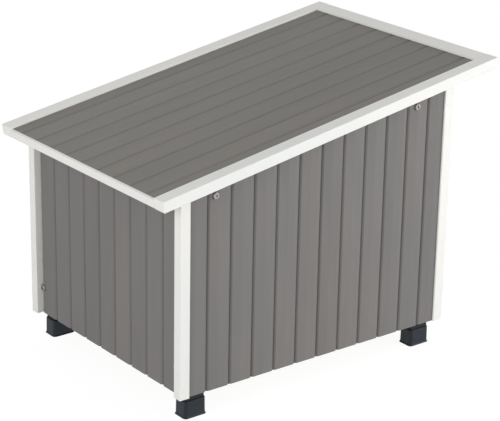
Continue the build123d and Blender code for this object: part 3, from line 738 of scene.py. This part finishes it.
screwSizes = {
    "headRadius": 0.0034, "headHeight": 0.00204, "recessWidth": 0.0008, "recessLength": 0.0036,
    "recessDepth": 0.0012, "shankRadius": 0.0016, "shankInHead": 0.0004, "shankLength": 0.013,
    "threadLength": 0.0115, "threadPitch": 0.0014, "threadDepth": 0.00045,
    "tipLength": 0.0030, "tipShare": 0.08,
}
bracketPlaces = {
    "corner": 0.2115, "rear": 0.293269, "front": -0.243731,
    "drop": 0.013, "out": 0.012, "leaf": 0.0018,
}
bracketTurns = ((1, "rear", 180), (-1, "rear", -90), (-1, "front", 0), (1, "front", 90))


def screwTree(sizes):
    tree, size = newGrower("panHeadScrew", sizes)
    head = dome(tree, size["headRadius"], size["headHeight"])
    depth = maths(tree, "MULTIPLY", size["recessDepth"], 2.0)
    bar = combine(tree, size["recessLength"], size["recessWidth"], depth)
    cross = combine(tree, size["recessWidth"], size["recessLength"], depth)
    for shape in (bar, cross):
        slot = put(tree, "GeometryNodeMeshCube", {"Size": shape}).outputs[0]
        head = carve(tree, "DIFFERENCE", head, lifted(tree, slot, size["headHeight"]))
    shank = threadedRod(tree, size, 64, 16)
    plantOnPoints(tree, size, carve(tree, "UNION", head, shank))
    return tree


# Rivets through the flap's clips, a dome on each side

rivetSizes = {
    "headRadius": 0.0036, "headHeight": 0.0016, "shankRadius": 0.0016, "reach": 0.00354, "overlap": 0.0004,
}
rivetPlaces = {"across": (-0.0545, -0.0415, 0.0415, 0.0545), "depth": -0.267731, "height": 0.324}


def rivetTree(sizes):
    tree, size = newGrower("domedRivet", sizes)
    head = dome(tree, size["headRadius"], size["headHeight"], 7, 28)
    near = lifted(tree, head, size["reach"])
    far = flipped(tree, near)
    length = maths(tree, "MULTIPLY_ADD", size["reach"], 2.0, size["overlap"])
    shank = rod(tree, 28, size["shankRadius"], length)
    shank = lifted(tree, shank, maths(tree, "MULTIPLY", length, -0.5))
    plantOnPoints(tree, size, carve(tree, "UNION", near, far, shank))
    return tree


def bracketSeats(look):
    # Two screws in each top corner, square to the side and to the end cleats
    seats = []
    for sideSign, endName, turn in bracketTurns:
        corner = Vector((sideSign * look["corner"], look[endName], 0.0))
        level = slopedSeat[2] + (slopedSeat[1] - corner.y) * math.tan(roofSlope) - look["drop"]
        swing = Matrix.Rotation(math.radians(turn), 3, "Z")
        for place, aim in (((look["out"], look["leaf"], 0.0), (0.0, 1.0, 0.0)),
                           ((look["leaf"], look["out"], 0.0), (1.0, 0.0, 0.0))):
            spot = corner + swing @ Vector(place)
            seats.append(((spot.x, spot.y, level), tuple(swing @ Vector(aim))))
    return seats


def wallSeats(look, faces, aimSign):
    seats = []
    for sideSign in (-1, 1):
        for endName, endSign in (("rear", 1), ("front", -1)):
            place = (sideSign * look["side"], faces[endName], look["height"])
            seats.append((place, (0.0, aimSign * endSign, 0.0)))
    return seats


def roofBoltSeats(look):
    seats = []
    for sideSign in (-1, 1):
        for along in look["along"]:
            seats.append((onRoof(sideSign * look["side"], along, look["up"]), (sideSign, 0.0, 0.0)))
    return seats


boltGrower = boltTree(list(boltSizes) + ["shankLength"])
growHardware("roofBoltSet", boltGrower, {**boltSizes, "shankLength": roofBoltPlaces["length"]},
             roofBoltSeats(roofBoltPlaces), boltZinc, houseBody, "roof_bolts")
growHardware("wallBoltSet", boltGrower, {**boltSizes, "shankLength": wallBoltPlaces["length"]},
             wallSeats(wallBoltPlaces, wallBoltPlaces, 1), boltZinc, houseBody, "wall_bolts")
growHardware("wallNutSet", nutTree(nutSizes), nutSizes, wallSeats(wallBoltPlaces, legFace, -1),
             zinc, houseBody, "wall_bolt_nuts")
growHardware("bracketScrewSet", screwTree(screwSizes), screwSizes, bracketSeats(bracketPlaces),
             zinc, houseBody, "bracket_screws")
rivetSeats = [((across, rivetPlaces["depth"], rivetPlaces["height"]), (0.0, -1.0, 0.0))
              for across in rivetPlaces["across"]]
growHardware("flapRivetSet", rivetTree(rivetSizes), rivetSizes, rivetSeats, zinc, flapBody, "flap_rivets")
print("hardware grown")
